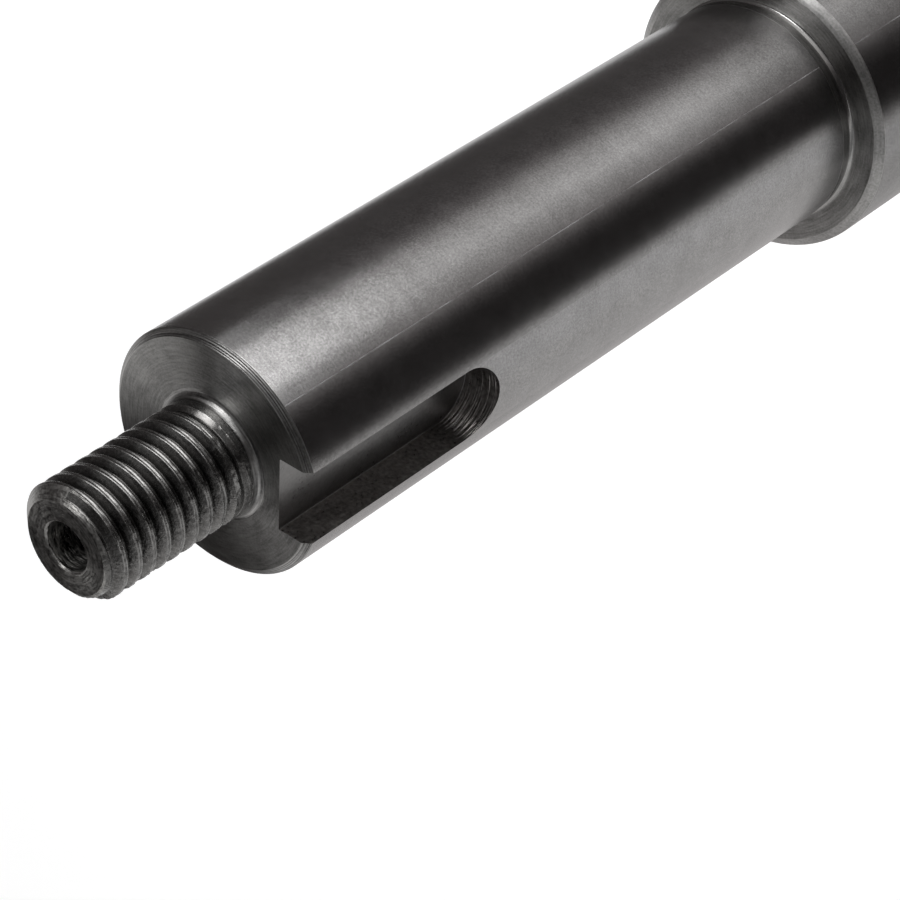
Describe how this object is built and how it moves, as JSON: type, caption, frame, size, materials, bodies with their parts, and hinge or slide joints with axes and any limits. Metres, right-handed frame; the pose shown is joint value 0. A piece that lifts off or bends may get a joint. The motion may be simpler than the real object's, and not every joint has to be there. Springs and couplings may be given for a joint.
{
  "type": "turned shaft",
  "caption": "Turned steel shaft end: ground journal with an open key seat, threaded stub with a drilled end, and a thicker body behind a square shoulder.",
  "frame": {"origin": "centre of the plain end of the thick body, on the shaft's axis", "axes": "+Z along the axis towards the threaded tip, +X out of the key seat"},
  "size_m": [0.032, 0.032, 0.1612],
  "materials": {
    "steel": "ground and turned"
  },
  "bodies": {
    "root": {"shaft": "steel"}
  },
  "joints": []
}
